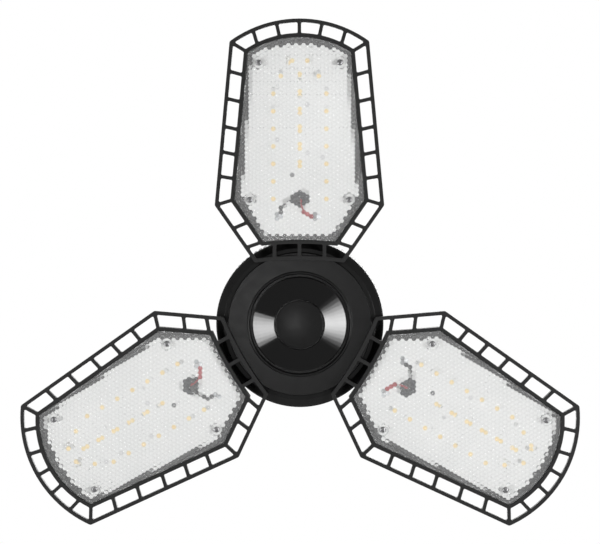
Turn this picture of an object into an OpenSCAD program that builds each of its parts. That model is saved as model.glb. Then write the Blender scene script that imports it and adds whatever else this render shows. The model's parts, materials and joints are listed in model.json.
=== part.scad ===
// Deformable garage light: three LED panels hinged round a driver housing that
// hangs by a screw cap. Sizes are in millimetres. +Z is up and the LEDs face
// down. The origin is on the cap's axis, at the lower rim of the screw shell.
// A depth is a height above the front plane, which the panels' faces lie in.

/* [Screw cap] */
// Radius of the shell's plain skirt
skirt_r = 13.2; // [12.6:0.1:14]
// Height of the plain skirt
skirt_h = 4.5; // [3:0.5:7]
// How far the thread's crest stays inside the skirt's radius
crest_step = 0.15; // [0.05:0.05:0.4]
// Depth of the rolled thread
thread_depth = 0.85; // [0.4:0.05:1.2]
// Thread pitch
thread_pitch = 3.62; // [2.8:0.02:4.2]
// Height of the threaded stretch
thread_h = 15; // [11:0.5:18]
// Least wall of the shell
shell_wall = 0.7; // [0.4:0.1:1]
// Height of the insulator above the thread
insulator_h = 5; // [3:0.5:8]
// Radius of the centre contact
button_r = 4.8; // [3:0.2:6]
// Height of the centre contact
button_h = 1.5; // [0.8:0.1:3]

/* [Upper housing and drum] */
// Radius of the hub at the drum's front
drum_r = 47.6; // [46:0.1:50]
// How much wider the drum's ribs are at its back
drum_flare = 0.8; // [0:0.1:1.5]
// Height of the drum
drum_h = 30.5; // [29:0.5:40]
// Wall of the drum inside its ribs
drum_wall = 1.7; // [1.2:0.1:2.5]
// Number of ribs round the drum
rib_count = 96; // [48:6:120]
// Depth of the grooves between the ribs
rib_depth = 0.8; // [0.4:0.1:1.2]
// Radius of the neck under the cap
neck_r = 17.6; // [16:0.2:22]
// Height of the neck
neck_h = 8; // [5:0.5:12]
// Height of the domed shoulder
shoulder_h = 20; // [16:0.5:28]
// Wall of the neck and shoulder
shell_plastic = 2.2; // [1.6:0.1:3]
// Number of vents in the shoulder
vent_count = 24; // [12:3:36]
// Width of a vent
vent_w = 2.4; // [1.5:0.1:3]
// Height of the spigots that centre the drum on its neighbours
spigot_h = 1.7; // [1:0.1:2]

/* [Front of the hub] */
// Depth of the flat ring behind the front plane
ring_depth = 5.6; // [4.5:0.1:6.5]
// Radius of the opening in the flat ring
ring_hole_r = 28.2; // [26:0.2:32]
// Width of the bevel round the front, with the rim outside it
bevel_w = 4.6; // [3.5:0.1:6]
// Width of the step between the flat ring and the bevel
step_w = 2.6; // [1.6:0.1:4]
// Depth of the bevel's far edge
bevel_depth = 11.5; // [10.5:0.1:12]
// Depth of the floor inside the ring
floor_depth = 8.5; // [7.5:0.1:9]
// Thickness of that floor and of the ring
ring_wall = 2; // [1.4:0.1:2.5]
// Gap round the glossy cone
cone_gap = 1.4; // [0.6:0.1:2.5]
// Depth of the cone's outer edge
cone_depth = 4; // [3:0.1:5]
// Wall of the cone
cone_wall = 1.5; // [1:0.1:2]
// Radius of the centre disc
disc_r = 13.8; // [10:0.2:17]
// How far the centre disc's edge stands out of the front plane
disc_out = 1; // [0.2:0.1:2]
// Rise of the centre disc's dome
disc_rise = 0.5; // [0.1:0.1:1]
// Thickness of the centre disc
disc_t = 1.4; // [1:0.1:2]
// Radius of the centre disc's stem
stem_r = 4.9; // [3:0.1:6]

/* [Driver] */
// Radius of the driver board
driver_board_r = 40; // [36:0.5:41]
// Thickness of the driver board
driver_board_t = 1.6; // [1:0.1:2]
// Depth of the driver board's lower face
driver_depth = 19; // [18.5:0.1:22]
// Radius of the circle that the long screws stand on
screw_circle_r = 21; // [19.5:0.5:22]
// Radius of the long screws
long_screw_r = 1.5; // [1.2:0.1:1.8]
// Length of the long screws under the head
long_screw_l = 27; // [24:0.5:32]
// Radius of the pillars round the long screws
pillar_r = 3.5; // [3:0.1:4]

/* [Ladder frame] */
// Half the width of the near end
frame_near_w = 25.2; // [22:0.2:26]
// Distance of the near corners from the hinge axis, inward
frame_near_in = 21.1; // [19:0.1:23]
// Half of the greatest width
frame_wide_w = 47.7; // [45:0.2:52]
// Distance of the widest corners from the hinge axis, outward
frame_wide_out = 11.2; // [8:0.2:16]
// Half the width at the far corners
frame_far_w = 39.2; // [36:0.2:43]
// Distance of the far corners from the hinge axis, outward
frame_far_out = 103.3; // [101:0.2:107]
// Rise of the far arc above its corners
frame_rise = 12.7; // [8:0.2:16]
// How far the near rail bows away from the hub
frame_bow = 1.7; // [0:0.1:2.5]
// Thickness of the ladder frame
frame_t = 3; // [2:0.1:3.5]
// Width of the outer rail
rail_w = 2.1; // [1.5:0.1:3]
// Width of the ladder's bars
bar_w = 2; // [1.4:0.1:3]
// Radius in the corners of the ladder's windows
window_r = 0.7; // [0.3:0.1:1]
// Radius on the frame's outer corners
corner_r = 1.6; // [0.5:0.1:3]

/* [Tray] */
// Half the width of the near end
tray_near_w = 21.3; // [19:0.1:22.5]
// Distance of the near corners from the hinge axis, inward
tray_near_in = 11.5; // [9.5:0.1:12]
// Half of the greatest width
tray_wide_w = 38.8; // [37.5:0.1:40.5]
// Distance of the widest corners from the hinge axis, outward
tray_wide_out = 13.9; // [11:0.1:16]
// Half the width at the far corners
tray_far_w = 31; // [30:0.1:33]
// Distance of the far corners from the hinge axis, outward
tray_far_out = 98.3; // [96:0.1:100]
// Rise of the far arc above its corners
tray_rise = 9.5; // [7:0.1:11]
// How far the near wall bows away from the hub
tray_bow = 1.2; // [0:0.1:2]
// Wall of the tray
tray_wall = 1.9; // [1.4:0.1:2.4]
// Depth of the tray's back
tray_depth = 8.4; // [7.8:0.1:9]
// Thickness of the tray's floor
tray_floor = 2; // [1.4:0.1:2.4]
// Height of the cooling fins
fin_h = 6; // [3:0.2:6.4]
// Thickness of a cooling fin
fin_t = 1.6; // [1:0.1:2.4]
// Distance from fin to fin
fin_pitch = 6; // [4:0.5:9]

/* [LED board and lens] */
// Thickness of the LED board
led_board_t = 1.4; // [1:0.1:1.6]
// Length of an LED package
led_l = 3.5; // [2.5:0.1:4.5]
// Width of an LED package
led_w = 2.8; // [2:0.1:3.5]
// Height of an LED package
led_h = 0.8; // [0.5:0.1:1]
// Distance from LED to LED along the panel
led_pitch = 10; // [8:0.5:11]
// Distance from the middle row of LEDs to the side rows
led_row = 15.1; // [12:0.1:18]
// Distance of the middle row's first LED from the tray's near end
led_start = 46; // [42:0.5:50]
// Distance of the side rows' first LEDs from the tray's near end
side_led_start = 26.2; // [24:0.2:30]
// Distance of the board screw from the tray's near end
board_screw_in = 39.9; // [37:0.1:41]
// Distance of the board screw from the panel's middle
board_screw_side = 4.2; // [0:0.1:6]
// Distance of the grommet from the tray's near end
grommet_in = 26.4; // [25:0.1:28]
// Distance of the grommet from the panel's middle
grommet_side = -0.6; // [-1:0.1:1]
// Distance of the red wire's pad from the panel's middle
red_pad_side = -7; // [-10:0.5:-5]
// Distance of the black wire's pad from the panel's middle
black_pad_side = 12; // [9:0.5:14]
// Distance of the wires' pads from the tray's near end
pad_in = 16.3; // [14:0.1:17]
// Distance of the far lens screws from the tray's far corners, inward
far_screw_in = 6.8; // [6:0.1:9]
// Distance of the lens screws from the sides of the tray
screw_side_in = 8.2; // [7.5:0.1:10]
// Depth of the lens's front face
lens_depth = 0.6; // [0.3:0.1:0.8]
// Thickness of the lens
lens_t = 1.6; // [1:0.1:1.8]
// Radius of the lens's screw bosses
boss_r = 3.1; // [2.6:0.1:3.6]
// Radius of the small screws' heads
small_head_r = 1.7; // [1.5:0.1:1.9]
// Height of the small screws' heads
small_head_h = 1.1; // [0.8:0.1:1.3]
// Radius of the small screws
small_screw_r = 0.95; // [0.7:0.05:1.1]
// Radius of the grommet's flange
grommet_r = 5; // [4:0.1:5.6]
// Height of the grommet's flange above the LED board
grommet_flange = 1.2; // [0.8:0.1:1.4]
// Radius of the wires on the LED board
wire_r = 0.6; // [0.4:0.05:0.65]

/* [Hinges] */
// Distance of the hinge axis from the drum
hinge_out = 8.4; // [7.5:0.1:12]
// Depth of the hinge axis
hinge_depth = 15.5; // [15.2:0.1:16.5]
// Radius of the hinge's eyes
eye_r = 3.6; // [3:0.1:3.7]
// Distance from the panel's middle to a lug's inner face
lug_in = 5; // [4.5:0.1:7]
// Thickness of a lug and of an ear
hinge_t = 3.4; // [2.5:0.1:4]
// Thickness of a friction washer
washer_t = 0.5; // [0.3:0.1:1]
// Radius of the hinge screws' shoulders
shoulder_r = 2; // [1.6:0.1:2.4]
// Radius of the hinge screws' threads
hinge_thread_r = 1.5; // [1.1:0.1:1.5]
// Radius of the hinge screws' heads
hinge_head_r = 3.2; // [2.8:0.1:3.5]
// Height of the hinge screws' heads
hinge_head_h = 2.2; // [1.5:0.1:3]
// Radius of the sheathed leads
lead_r = 1.5; // [1:0.1:1.6]
// Distance of a sheathed lead from the panel's middle at the hinge
lead_side = 1.9; // [1.7:0.1:2.2]

/* [Clearances] */
// Radial running clearance of the hinge's shoulders
run_gap = 0.05; // [0.02:0.01:0.09]
// Gap beside each friction washer
side_gap = 0.05; // [0.03:0.01:0.1]
// Clearance of screws in the holes that they grip
grip_gap = 0.03; // [0.01:0.01:0.05]
// Clearance of parts that drop into one another
fit_gap = 0.2; // [0.1:0.05:0.3]

/* [Hidden] */
$fn = 96;
PANELS = ["a", "b", "c"];
panel_angles = [270, 150, 30];
PANEL_PIECES = [
    "housing", "led_board", "leds", "lens", "lens_screws", "board_screw", "grommet",
    "red_wire", "black_wire", "panel_lead", "hinge_screws", "hinge_washers"
];

// The screw cap
crest_r = skirt_r - crest_step;
root_r = crest_r - thread_depth;
shell_bore_r = root_r - shell_wall;
thread_sides = 36;
thread_rings = 26;
thread_root = 0.6;
shell_flat_r = shell_bore_r * cos(180 / thread_sides);
thread_top = skirt_h + thread_h;
button_z = thread_top + insulator_h;
cap_spigot_r = shell_flat_r - fit_gap;
cap_spigot_top = skirt_h + 0.6 * thread_h;
neck_bore_r = cap_spigot_r - 1.1;
cap_lead_r = 0.8;
cap_lead_y = neck_bore_r - 2 * cap_lead_r;

// Heights of the hub, from the front plane up
front_z = -(neck_h + shoulder_h + drum_h + bevel_depth);
drum_top = bevel_depth + drum_h;
shoulder_top = drum_top + shoulder_h;
drum_bore_r = drum_r - rib_depth - drum_wall;
spigot_r = drum_bore_r - fit_gap;
spigot_wall = 2;
bevel_r = drum_r - bevel_w;
ring_flat_r = bevel_r - step_w;
pillar_angles = [90, 210, 330];
board_top = driver_depth + driver_board_t;
floor_back = floor_depth + ring_wall;
cone_r = ring_hole_r - cone_gap;
stem_hole_r = stem_r + fit_gap;
screw_head_h = 2;

// Levels in a panel
board_back = tray_depth - tray_floor;
board_face = board_back - led_board_t;
lens_back = lens_depth + lens_t;
lens_gap = 0.25;
ledge_w = 1.1;
head_seat = lens_depth + small_head_h + 0.4;
small_screw_back = 3;

// How far the root of a rib or a boss reaches into what carries it
sink = 0.5;

// A panel's corners, from the cap's axis
hinge_v = drum_r + hinge_out;
frame_near_v = hinge_v - frame_near_in;
frame_wide_v = hinge_v + frame_wide_out;
frame_far_v = hinge_v + frame_far_out;
tray_near_v = hinge_v - tray_near_in;
tray_wide_v = hinge_v + tray_wide_out;
tray_far_v = hinge_v + tray_far_out;

// Places on the LED board, from the panel's middle and from the cap's axis
far_screw = [tray_far_w - screw_side_in, tray_far_v - far_screw_in];
near_screw = [tray_wide_w - screw_side_in - boss_r + 0.5, tray_wide_v + 0.5];
lens_screw_places = [for (p = [far_screw, near_screw], s = [1, -1]) [s * p.x, p.y]];
board_screw_place = [board_screw_side, tray_near_v + board_screw_in];
grommet_place = [grommet_side, tray_near_v + grommet_in];
red_pad = [red_pad_side, tray_near_v + pad_in];
black_pad = [black_pad_side, tray_near_v + pad_in];
led_first_v = tray_near_v + led_start;
side_led_first_v = tray_near_v + side_led_start;

// The hinge's stack, outward from the panel's middle
lug_out = lug_in + hinge_t;
ear_in = lug_out + washer_t + 2 * side_gap;
ear_out = ear_in + hinge_t;
lead_v = screw_circle_r + 17;

// The channel on the panel's back that the lead runs in
channel_v = hinge_v + 6;
channel_depth = tray_depth + lead_r + 1.4;
channel_half = lead_r + 3;
channel_l = grommet_place.y + channel_half + 0.5 - channel_v;

// Where the ladder's bars leave each rail, as shares of that rail's length
side_shares = [[0.18, 0.148], [0.331, 0.307], [0.485, 0.474], [0.655, 0.659], [0.822, 0.837]];
slant_shares = [[0.585, 0.502], [0.256, 0.062]];
arc_shares = [[0, 0], [0.315, 0.347], [0.646, 0.75]];
near_bar_share = 0.66;
bar_reach = 0.8;

// ---------------------------------------------------------------- outlines

frame_near = [frame_near_w, frame_near_v];
frame_wide = [frame_wide_w, frame_wide_v];
frame_far = [frame_far_w, frame_far_v];
tray_near = [tray_near_w, tray_near_v];
tray_wide = [tray_wide_w, tray_wide_v];
tray_far = [tray_far_w, tray_far_v];

// The LED board's corners, inward from the tray's
board_near = tray_near + [-2.8, 5.5];
board_wide = tray_wide + [-6, 2.6];
board_far = tray_far + [-3.8, -2.1];
board_rise = tray_rise - 3.8;

function arc_r(far, rise) = (far.x * far.x + rise * rise) / (2 * rise);
function arc_y(far, rise) = far.y + rise - arc_r(far, rise);
function arc_half(far, rise) = asin(far.x / arc_r(far, rise));

// The point of the far arc at a share of its half-length, from the middle
function on_arc(far, rise, share) =
    let (a = share * arc_half(far, rise))
    [arc_r(far, rise) * sin(a), arc_y(far, rise) + arc_r(far, rise) * cos(a)];

// The point of the bowed near edge at a share of its half-width
function on_bow(near, bow, share) = [near.x * share, near.y + bow * (1 - share * share)];

function mix(p, q, share) = p + (q - p) * share;
function mirrored(p) = [-p.x, p.y];

// A panel outline: bowed near edge, slanted sides, long sides and a far arc
function outline(near, wide, far, rise, bow) = concat(
    [for (i = [-6:6]) on_bow(near, bow, i / 6)],
    [wide],
    [for (i = [12:-1:-12]) on_arc(far, rise, i / 12)],
    [mirrored(wide)]
);

module frame_outline() {
    polygon(outline(frame_near, frame_wide, frame_far, frame_rise, frame_bow));
}

module tray_outline() {
    polygon(outline(tray_near, tray_wide, tray_far, tray_rise, tray_bow));
}

module rounded(r) {
    offset(r = r, $fn = 16) offset(delta = -r) children();
}

// A bar between two points, a little longer at both ends to reach into the rails
module bar(p, q) {
    run = q - p;
    translate(p)
        rotate(atan2(run.y, run.x))
            translate([-bar_reach, -bar_w / 2])
                square([norm(run) + 2 * bar_reach, bar_w]);
}

module half_bars() {
    for (s = side_shares)
        bar(mix(frame_wide, frame_far, s[0]), mix(tray_wide, tray_far, s[1]));
    for (s = slant_shares)
        bar(mix(frame_near, frame_wide, s[0]), mix(tray_near, tray_wide, s[1]));
    for (s = arc_shares)
        bar(on_arc(frame_far, frame_rise, s[0]), on_arc(tray_far, tray_rise, s[1]));
    bar(frame_far, tray_far);
    bar(frame_wide, tray_wide);
    bar(
        [near_bar_share * tray_near_w, frame_near_v],
        on_bow(tray_near, tray_bow, near_bar_share)
    );
    bar([0, frame_near_v + frame_bow], [0, tray_near_v + tray_bow]);
}

// The holes between the outer rail, the tray's rim and the bars
module ladder_windows() {
    rim = 0.1;
    difference() {
        offset(delta = -rail_w) frame_outline();
        offset(delta = rim) tray_outline();
        half_bars();
        mirror([1, 0]) half_bars();
    }
}

module ladder() {
    difference() {
        rounded(corner_r) frame_outline();
        rounded(window_r) ladder_windows();
    }
}

module tray_inside() {
    offset(delta = -tray_wall) tray_outline();
}

// ------------------------------------------------------------------ helpers

module at_panel(k) {
    rotate([0, 0, panel_angles[k] - 90]) translate([0, 0, front_z]) children();
}

module at_front() {
    translate([0, 0, front_z]) children();
}

// A disc or tube that lies along X, from x0 to x1
module lying(x0, x1, r) {
    translate([x0, 0, 0]) rotate([0, 90, 0]) cylinder(r = r, h = x1 - x0);
}

module at_hinge() {
    translate([0, hinge_v, hinge_depth]) children();
}

function unit(v) = v / norm(v);
function run_of(points, i) = unit(points[min(i, len(points) - 2) + 1] - points[min(i, len(points) - 2)]);

// The plane that a lead's ring lies in at point i: square to its end, or across the bend
function ring_normal(points, i) =
    i == 0 ? run_of(points, 0) : unit(run_of(points, i - 1) + run_of(points, i));

// The first ring is a circle, and each next one slides along the run to the next plane
function lead_rings(points, r, sides, i = 0, ring = []) =
    i == len(points) ? [] :
    let (
        along = run_of(points, max(i - 1, 0)),
        side = unit(cross(along, abs(along.z) < 0.9 ? [0, 0, 1] : [1, 0, 0])),
        normal = ring_normal(points, i),
        now = i == 0
            ? [for (s = [0:sides - 1])
                let (a = 360 * s / sides)
                points[0] + r * (side * cos(a) + cross(along, side) * sin(a))]
            : [for (v = ring) v + along * ((points[i] - v) * normal) / (along * normal)]
    )
    concat([now], lead_rings(points, r, sides, i + 1, now));

lead_sides = 12;

// A round lead through the given points, with mitred bends
module lead(points, r) {
    n = lead_sides;
    rings = lead_rings(points, r, n);
    last = (len(points) - 1) * n;
    walls = [
        for (i = [0:len(points) - 2], s = [0:n - 1])
            let (p = i * n, q = p + n, t = (s + 1) % n)
            each [[p + s, q + t, q + s], [p + s, p + t, q + t]]
    ];
    ends = [for (s = [1:n - 2]) each [[0, s + 1, s], [last, last + s, last + s + 1]]];
    polyhedron([for (ring = rings) each ring], concat(walls, ends));
}

// ----------------------------------------------------------------- screw cap

// How full the thread is at a height above its root, from 0 at both ends to 1
function thread_share(z) =
    min(1, max(0, z - thread_root) / thread_pitch, (thread_h + thread_root - z) / thread_pitch);

// Radius of the rolled thread at a turn angle and a height above its root in the skirt
function thread_r_at(a, z) =
    root_r + thread_depth * thread_share(z) * (0.5 + 0.5 * cos(360 * z / thread_pitch - a));

module thread() {
    top = thread_h + thread_root;
    step = top / thread_rings;
    outer = [
        for (j = [0:thread_rings], i = [0:thread_sides - 1])
            let (a = 360 * i / thread_sides, r = thread_r_at(a, j * step))
            [r * cos(a), r * sin(a), j * step]
    ];
    inner = [
        for (z = [0, top], i = [0:thread_sides - 1])
            let (a = 360 * i / thread_sides)
            [shell_bore_r * cos(a), shell_bore_r * sin(a), z]
    ];
    first_in = len(outer);
    last_ring = thread_rings * thread_sides;
    walls = [
        for (j = [0:thread_rings - 1], i = [0:thread_sides - 1])
            let (n = (i + 1) % thread_sides, p = j * thread_sides, q = p + thread_sides)
            each [[p + i, q + i, q + n], [p + i, q + n, p + n]]
    ];
    bore = [
        for (i = [0:thread_sides - 1])
            let (n = (i + 1) % thread_sides, p = first_in, q = p + thread_sides)
            each [[p + i, q + n, q + i], [p + i, p + n, q + n]]
    ];
    ends = [
        for (i = [0:thread_sides - 1])
            let (n = (i + 1) % thread_sides, p = first_in, q = p + thread_sides)
            each [
                [i, n, p + n], [i, p + n, p + i],
                [last_ring + i, q + n, last_ring + n], [last_ring + i, q + i, q + n]
            ]
    ];
    translate([0, 0, skirt_h - thread_root])
        polyhedron(concat(outer, inner), concat(walls, bore, ends));
}

module screw_shell() {
    lap = 0.4 * shell_wall;
    color("silver") {
        thread();
        difference() {
            cylinder(r = skirt_r, h = skirt_h);
            translate([0, 0, -1]) cylinder(r = shell_bore_r + lap, h = skirt_h + 2);
        }
    }
}

module cap_insulator() {
    seat = 3;
    shoulder = 1.2;
    slope = 1.6;
    bore = 1.4;
    r = shell_flat_r - grip_gap;
    color("#1b1b1d")
        rotate_extrude()
            polygon([
                [bore, thread_top - seat],
                [r, thread_top - seat],
                [r, thread_top],
                [root_r, thread_top],
                [root_r - slope, thread_top + shoulder],
                [button_r + 0.8, button_z],
                [bore, button_z]
            ]);
}

module contact_button() {
    color("#b9a36a")
        translate([0, 0, button_z])
            rotate_extrude()
                polygon([
                    [0, 0],
                    [button_r, 0],
                    [button_r, 0.4 * button_h],
                    [0.85 * button_r, 0.8 * button_h],
                    [0.5 * button_r, button_h],
                    [0, button_h]
                ]);
}

// ------------------------------------------------------------------- housing

// The dome from the neck to the drum, at a share of its quarter turn
function dome(r0, r1, z0, h, share) =
    [r0 + (r1 - r0) * sin(90 * share), z0 + h * cos(90 * share)];

module upper_housing() {
    steps = 10;
    rim = 2;
    edge = 0.6;
    neck_edge = 1.4;
    vent_sill = 1.5;
    screw_end = 4;
    wall = shell_plastic;
    spigot_top = cap_spigot_top - front_z;
    inner_r = spigot_r - spigot_wall;
    outer = [
        for (i = [0:steps])
            dome(neck_r, drum_r - edge, drum_top + rim, shoulder_h - rim, i / steps)
    ];
    inner = [
        for (i = [steps:-1:0])
            dome(neck_r - wall, inner_r, drum_top + rim - wall, shoulder_h - rim, i / steps)
    ];
    color("#232426")
        difference() {
            at_front() union() {
                rotate_extrude()
                    polygon(concat(
                        [
                            [cap_spigot_r, spigot_top],
                            [cap_spigot_r, -front_z],
                            [neck_r - neck_edge, -front_z],
                            [neck_r - neck_edge / 3, -front_z - neck_edge / 1.5]
                        ],
                        outer,
                        [
                            [drum_r, drum_top + rim - edge],
                            [drum_r, drum_top],
                            [spigot_r, drum_top],
                            [spigot_r, drum_top - spigot_h],
                            [inner_r, drum_top - spigot_h]
                        ],
                        inner,
                        [
                            [neck_r - wall, shoulder_top],
                            [neck_bore_r, -front_z - wall],
                            [neck_bore_r, spigot_top]
                        ]
                    ));
                for (a = pillar_angles)
                    rotate(a)
                        translate([screw_circle_r, 0, board_top])
                            cylinder(r = pillar_r, h = shoulder_top - 0.9 * wall - board_top);
            }
            at_front()
                for (a = pillar_angles)
                    rotate(a)
                        translate([screw_circle_r, 0, board_top - 1])
                            cylinder(r = long_screw_r + grip_gap, h = long_screw_l - screw_end);
            at_front()
                for (i = [0:vent_count - 1])
                    rotate((i + 0.5) * 360 / vent_count)
                        translate([0.78 * drum_r, -vent_w / 2, drum_top + rim + vent_sill])
                            cube([0.3 * drum_r, vent_w, 0.45 * shoulder_h]);
        }
}

// Outline of the drum's ribs, out to the radius past their crests
function rib_ring(crest_r, groove_r) = [
    for (i = [0:rib_count - 1], s = [[0.04, 0], [0.46, 0], [0.54, 1], [0.96, 1]])
        let (a = 360 * (i + s[0]) / rib_count, r = mix(crest_r, groove_r, s[1]))
        [r * cos(a), r * sin(a)]
];

// An ear from the drum's wall out to the hinge axis, with the hole for the shoulder
module ear() {
    root_v = sqrt(pow(drum_bore_r, 2) - pow(ear_in, 2)) + 0.2;
    root_low = hinge_depth - eye_r;
    root_top = hinge_depth + 2.6 * eye_r;
    rotate([90, 0, 90])
        linear_extrude(hinge_t)
            difference() {
                union() {
                    translate([hinge_v, hinge_depth]) circle(r = eye_r);
                    polygon([
                        [root_v, root_low],
                        [hinge_v, root_low],
                        [hinge_v, hinge_depth + eye_r],
                        [root_v, root_top]
                    ]);
                }
                translate([hinge_v, hinge_depth]) circle(r = shoulder_r + run_gap);
            }
}

module driver_drum() {
    front_r = drum_r - 0.2;
    back_r = drum_r + drum_flare;
    color("#232426")
        difference() {
            union() {
                at_front()
                    translate([0, 0, bevel_depth])
                        difference() {
                            intersection() {
                                cylinder(r1 = front_r, r2 = back_r, h = drum_h);
                                linear_extrude(drum_h)
                                    polygon(rib_ring(back_r + 1, back_r - rib_depth));
                            }
                            translate([0, 0, -1])
                                cylinder(r = drum_bore_r, h = drum_h + 2);
                        }
                for (k = [0:2])
                    at_panel(k) {
                        translate([ear_in, 0, 0]) ear();
                        translate([-ear_out, 0, 0]) ear();
                    }
            }
            for (k = [0:2])
                at_panel(k)
                    translate([lead_side, drum_bore_r - 1, hinge_depth])
                        rotate([-90, 0, 0])
                            cylinder(r = lead_r + fit_gap, h = drum_wall + rib_depth + 2);
        }
}

// ------------------------------------------------------------- hub's front

// Points round an arc, from one angle to another
function arc(centre, r, from, to, steps) = [
    for (i = [0:steps])
        let (a = from + (to - from) * i / steps)
        centre + r * [cos(a), sin(a)]
];

module front_ring() {
    bead_r = 0.9;
    bead_out = 0.5;
    bead_end = 360 - asin((bead_r - bead_out) / bead_r);
    rim_w = 0.7;
    rim_drop = 0.9;
    rim_t = 0.5;
    step_depth = ring_depth + 1.4;
    back = ring_depth + ring_wall;
    wall_r = ring_hole_r + ring_wall;
    color("#2b2c2e")
        at_front()
            difference() {
                union() {
                    rotate_extrude()
                        polygon(concat(
                            [[stem_hole_r, floor_depth], [ring_hole_r, floor_depth]],
                            arc([ring_hole_r + bead_r, ring_depth + bead_r - bead_out], bead_r,
                                180, bead_end, 8),
                            [
                                [ring_flat_r, ring_depth],
                                [ring_flat_r + 0.4, step_depth],
                                [bevel_r, step_depth + 0.2],
                                [drum_r - rim_w, bevel_depth - rim_t - rim_drop],
                                [drum_r - rim_w, bevel_depth - rim_t],
                                [drum_r, bevel_depth - rim_t],
                                [drum_r, bevel_depth],
                                [spigot_r, bevel_depth],
                                [spigot_r, bevel_depth + spigot_h],
                                [spigot_r - spigot_wall, bevel_depth + spigot_h],
                                [spigot_r - spigot_wall, step_depth + 1.4 * ring_wall],
                                [ring_flat_r - 1, back],
                                [wall_r, back],
                                [wall_r, floor_back],
                                [stem_hole_r, floor_back]
                            ]
                        ));
                    for (a = pillar_angles)
                        rotate(a)
                            translate([screw_circle_r, 0, floor_back - sink])
                                cylinder(r = pillar_r, h = driver_depth - floor_back + sink);
                }
                for (a = pillar_angles)
                    rotate(a)
                        translate([screw_circle_r, 0, 0])
                            cylinder(r = long_screw_r + fit_gap, h = driver_depth + 1);
            }
}

module front_cone() {
    nose_depth = disc_t - disc_out;
    edge = 0.4;
    tip_edge = 0.5;
    tip_rise = 0.6;
    color("#101012")
        at_front()
            rotate_extrude()
                polygon([
                    [cone_r - cone_wall, floor_depth],
                    [cone_r, floor_depth],
                    [cone_r, cone_depth + edge],
                    [cone_r - edge, cone_depth],
                    [disc_r + tip_edge, nose_depth - tip_rise],
                    [disc_r + tip_edge / 2, nose_depth],
                    [stem_hole_r, nose_depth],
                    [stem_hole_r, nose_depth + cone_wall],
                    [disc_r, nose_depth + cone_wall],
                    [cone_r - cone_wall, cone_depth + cone_wall]
                ]);
}

module centre_cap() {
    edge_r = 0.8;
    dome_steps = 6;
    stem_top = floor_back + 3.5;
    stem_bore = stem_r - 1.4;
    back = disc_t - disc_out;
    dome = [
        for (i = [0:dome_steps - 1])
            let (share = i / dome_steps)
            [(disc_r - edge_r) * share, -disc_out - disc_rise * (1 - share * share)]
    ];
    color("#2b2c2e")
        at_front()
            rotate_extrude()
                polygon(concat(
                    dome,
                    arc([disc_r - edge_r, edge_r - disc_out], edge_r, 270, 360, 5),
                    [
                        [disc_r, back],
                        [stem_r, back],
                        [stem_r, stem_top],
                        [stem_bore, stem_top],
                        [stem_bore, back],
                        [0, back]
                    ]
                ));
}

module cap_clip() {
    flange = 3;
    t = 0.8;
    color("#8d8f92")
        at_front()
            translate([0, 0, floor_back])
                difference() {
                    cylinder(r = stem_r + flange, h = t);
                    translate([0, 0, -1]) cylinder(r = stem_r + grip_gap, h = t + 2);
                }
}

// -------------------------------------------------------------------- driver

module driver_board() {
    color("#c9b98a")
        at_front()
            translate([0, 0, driver_depth])
                difference() {
                    cylinder(r = driver_board_r, h = driver_board_t);
                    for (a = pillar_angles)
                        rotate(a)
                            translate([screw_circle_r, 0, -1])
                                cylinder(r = long_screw_r + fit_gap, h = driver_board_t + 2);
                }
}

// Stands a component on the driver board, at an angle and a distance from the axis
module on_board(angle, distance) {
    at_front()
        rotate(angle)
            translate([distance, 0, board_top])
                children();
}

tall_r = driver_board_r - 9;
flat_r = driver_board_r - 7;
coil_r = 5;
coil_h = 7;
core_l = 15;
core_w = 11;
core_leg = 2.4;
core_side = 2;

module capacitor(r, h) {
    crimp = 0.7;
    cylinder(r = r, h = h - crimp);
    translate([0, 0, h - crimp - 0.1]) cylinder(r = r - crimp, h = crimp + 0.1);
}

module input_capacitor() {
    color("#2d3f66") on_board(30, tall_r) capacitor(5, 16);
}

module output_capacitor() {
    color("#1f2023") on_board(150, tall_r) capacitor(4, 13);
}

module transformer_core() {
    room = coil_h + 2 * fit_gap;
    color("#4a4a4c")
        on_board(0, 0) {
            for (z = [0, core_leg + room])
                translate([-core_l / 2, -core_w / 2, z]) cube([core_l, core_w, core_leg]);
            for (x = [-core_l / 2, core_l / 2 - core_side])
                translate([x, -core_w / 2, core_leg - 0.1])
                    cube([core_side, core_w, room + 0.2]);
        }
}

module transformer_coil() {
    color("#d8a53a") on_board(0, 0) translate([0, 0, core_leg]) cylinder(r = coil_r, h = coil_h);
}

module filter_choke() {
    flange_r = 5;
    winding_r = 4.2;
    flange = 1;
    h = 10;
    color("#b4622d")
        on_board(270, tall_r)
            rotate_extrude()
                polygon([
                    [0, 0],
                    [flange_r, 0],
                    [flange_r, flange],
                    [winding_r, flange],
                    [winding_r, h - flange],
                    [flange_r, h - flange],
                    [flange_r, h],
                    [0, h]
                ]);
}

// A flat package on the driver board
module chip(size, angle) {
    on_board(angle, flat_r) translate([-size.x / 2, -size.y / 2, 0]) cube(size);
}

module bridge_rectifier() {
    color("#1a1a1c") chip([6.4, 8, 2.6], 62);
}

module driver_chip() {
    color("#1a1a1c") chip([4, 5, 1.6], 120);
}

module fuse() {
    r = 2;
    l = 9;
    color("#d9d2bd")
        on_board(240, flat_r)
            translate([0, -l / 2, r]) rotate([-90, 0, 0]) cylinder(r = r, h = l);
}

module live_lead() {
    color("#7a3b23")
        lead(
            [
                [0, cap_lead_y, front_z + board_top],
                [0, cap_lead_y, cap_spigot_top - 5],
                [0, 0, thread_top - 4],
                [0, 0, button_z]
            ],
            cap_lead_r
        );
}

module neutral_lead() {
    over = cap_spigot_top + 2 * cap_lead_r;
    color("#2f5fa8")
        lead(
            [
                [0, -cap_lead_y, front_z + board_top],
                [0, -cap_lead_y, over],
                [0, 0.1 - shell_flat_r, over]
            ],
            cap_lead_r
        );
}

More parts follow.
